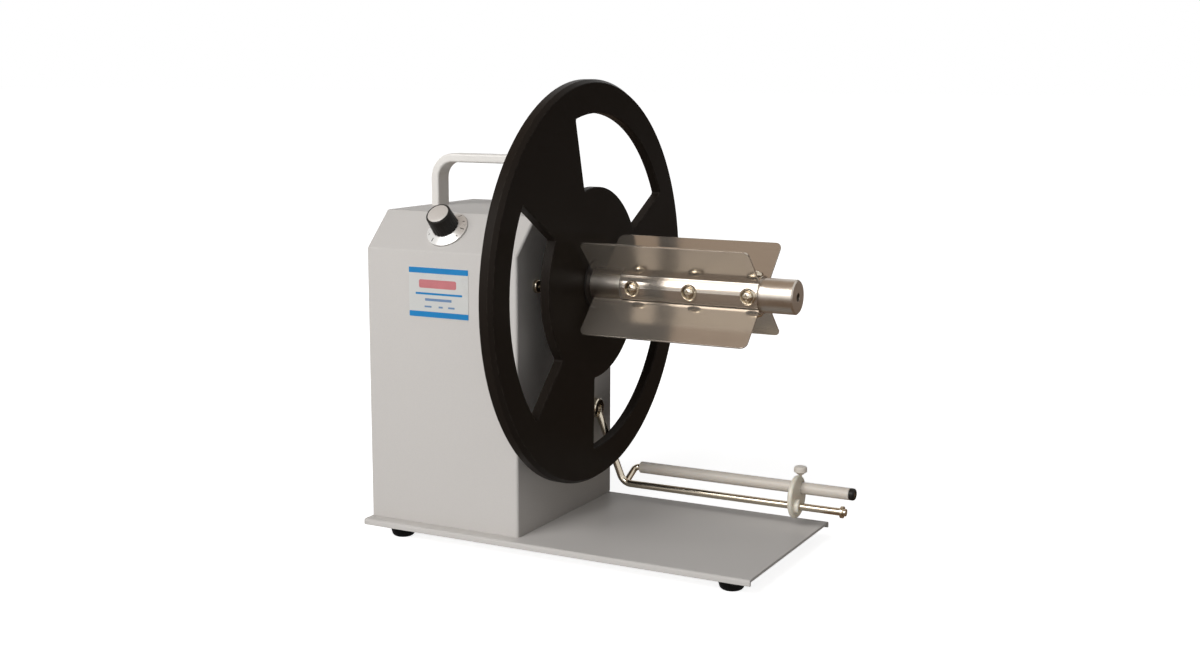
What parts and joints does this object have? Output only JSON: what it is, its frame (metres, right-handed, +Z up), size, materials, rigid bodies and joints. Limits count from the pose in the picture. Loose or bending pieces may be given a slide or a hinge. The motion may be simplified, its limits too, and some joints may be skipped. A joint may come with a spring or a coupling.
{
  "type": "label rewinder",
  "caption": "Motorised label rewinder: sheet housing on a flat base, winged core spindle with a large windowed disc, tension arm with roller and guide, speed knob and carry handle.",
  "frame": {"origin": "middle of the overall length and of the disc's width, on the surface that the feet rest on", "axes": "+X along the spindle away from the housing, +Y to the back, +Z up"},
  "size_m": [0.2766, 0.241, 0.2808],
  "materials": {
    "painted_sheet": "fine satin powder coat, light warm grey",
    "black_disc": "satin black",
    "polished_steel": "polished sheet",
    "shaft_steel": "ground",
    "nickel": "nickel plated",
    "zinc": "zinc plated",
    "blackened_steel": "blackened",
    "handle_aluminium": "satin anodised",
    "knob_aluminium": "turned",
    "black_plastic": "moulded",
    "black_rubber": "moulded",
    "white_nylon": "natural nylon",
    "grey_plastic": "moulded",
    "label_film": "printed film with plain bands",
    "cast_aluminium": "machined",
    "bearing_steel": "ground",
    "gear_steel": "cut steel",
    "motor_steel": "drawn can",
    "bronze": "sintered",
    "board": "glass fibre board",
    "capacitor_sleeve": "sleeved can",
    "terminal_plastic": "moulded",
    "jack_body": "moulded",
    "wire_sleeve": "insulated wire"
  },
  "bodies": {
    "root": {"base_plate": "painted_sheet", "rubber_feet": "black_rubber", "base_screws": "zinc", "housing_shell": "painted_sheet", "rear_cover": "painted_sheet", "rear_cover_screws": "zinc", "carry_handle": "handle_aluminium", "handle_screws": "zinc", "front_label": "label_film", "bearing_housing": "cast_aluminium", "bearing_screws": "nickel", "spindle_bearings": "bearing_steel", "motor_bracket": "zinc", "gearbox": "gear_steel", "gearbox_screws": "zinc", "motor_can": "motor_steel", "potentiometer": "motor_steel", "pot_nut": "zinc", "pivot_boss": "zinc", "pivot_bushes": "bronze", "sensor_bracket": "zinc", "opto_sensor": "black_plastic", "control_board": "board", "board_standoffs": "white_nylon", "heat_sink": "cast_aluminium", "capacitors": "capacitor_sleeve", "terminal_block": "terminal_plastic", "switch_housing": "black_plastic", "dc_jack": "jack_body", "dc_jack_nut": "zinc", "wiring": "wire_sleeve"},
    "spindle": {"spindle_shaft": "shaft_steel", "flange_disc": "black_disc", "disc_hub": "blackened_steel", "hub_screws": "zinc", "set_screws": "blackened_steel", "wing_front": "polished_steel", "wing_top": "polished_steel", "wing_back": "polished_steel", "wing_bottom": "polished_steel", "wing_screws": "nickel", "spindle_gear": "gear_steel", "spindle_circlip": "blackened_steel"},
    "motor_output": {"motor_output_shaft": "shaft_steel", "drive_pinion": "gear_steel"},
    "knob": {"speed_knob": "black_plastic", "knob_cap": "knob_aluminium", "knob_skirt": "knob_aluminium", "pot_shaft": "shaft_steel"},
    "arm": {"arm_pivot_shaft": "shaft_steel", "arm_hub": "nickel", "tension_arm": "nickel", "rod_end_collar": "nickel", "roller_end_cap": "black_plastic", "arm_vane": "gear_steel", "pivot_clip": "blackened_steel"},
    "roller": {"roller_tube": "white_nylon"},
    "guide": {"guide_disc": "white_nylon"},
    "thumb": {"thumb_screw": "grey_plastic"},
    "rocker": {"power_rocker": "black_plastic"}
  },
  "joints": [
    {"name": "spindle_spin", "type": "hinge", "parent": "root", "child": "spindle", "pos_m": [-0.03335, 0, 0.1603], "axis": [1, 0, 0], "continuous": true},
    {"name": "motor_spin", "type": "hinge", "parent": "root", "child": "motor_output", "pos_m": [-0.07335, 0, 0.1153], "axis": [1, 0, 0], "continuous": true},
    {"name": "speed_knob_turn", "type": "hinge", "parent": "root", "child": "knob", "pos_m": [-0.08775, -0.0395, 0.19179], "axis": [0, -0.7038, 0.7104], "range_deg": [-300, 0]},
    {"name": "tension_arm_swing", "type": "hinge", "parent": "root", "child": "arm", "pos_m": [-0.03335, 0.043, 0.0739], "axis": [1, 0, 0], "range_deg": [-4, 60]},
    {"name": "roller_spin", "type": "hinge", "parent": "arm", "child": "roller", "pos_m": [-0.00481, 0.0557, 0.0352], "axis": [1, 0, 0], "continuous": true},
    {"name": "guide_slide", "type": "slide", "parent": "arm", "child": "guide", "axis": [1, 0, 0], "range_m": [-0.1, 0.024]},
    {"name": "thumb_screw_turn", "type": "hinge", "parent": "guide", "child": "thumb", "pos_m": [0.10315, 0.0557, 0.0352], "axis": [0, 0, 1], "range_deg": [0, 360]},
    {"name": "power_rocker_tilt", "type": "hinge", "parent": "root", "child": "rocker", "pos_m": [-0.08585, 0.0695, 0.1685], "axis": [1, 0, 0], "range_deg": [0, 22]}
  ],
  "couplings": [
    {"joint": "motor_spin", "follows": "spindle_spin", "ratio": -3}
  ]
}
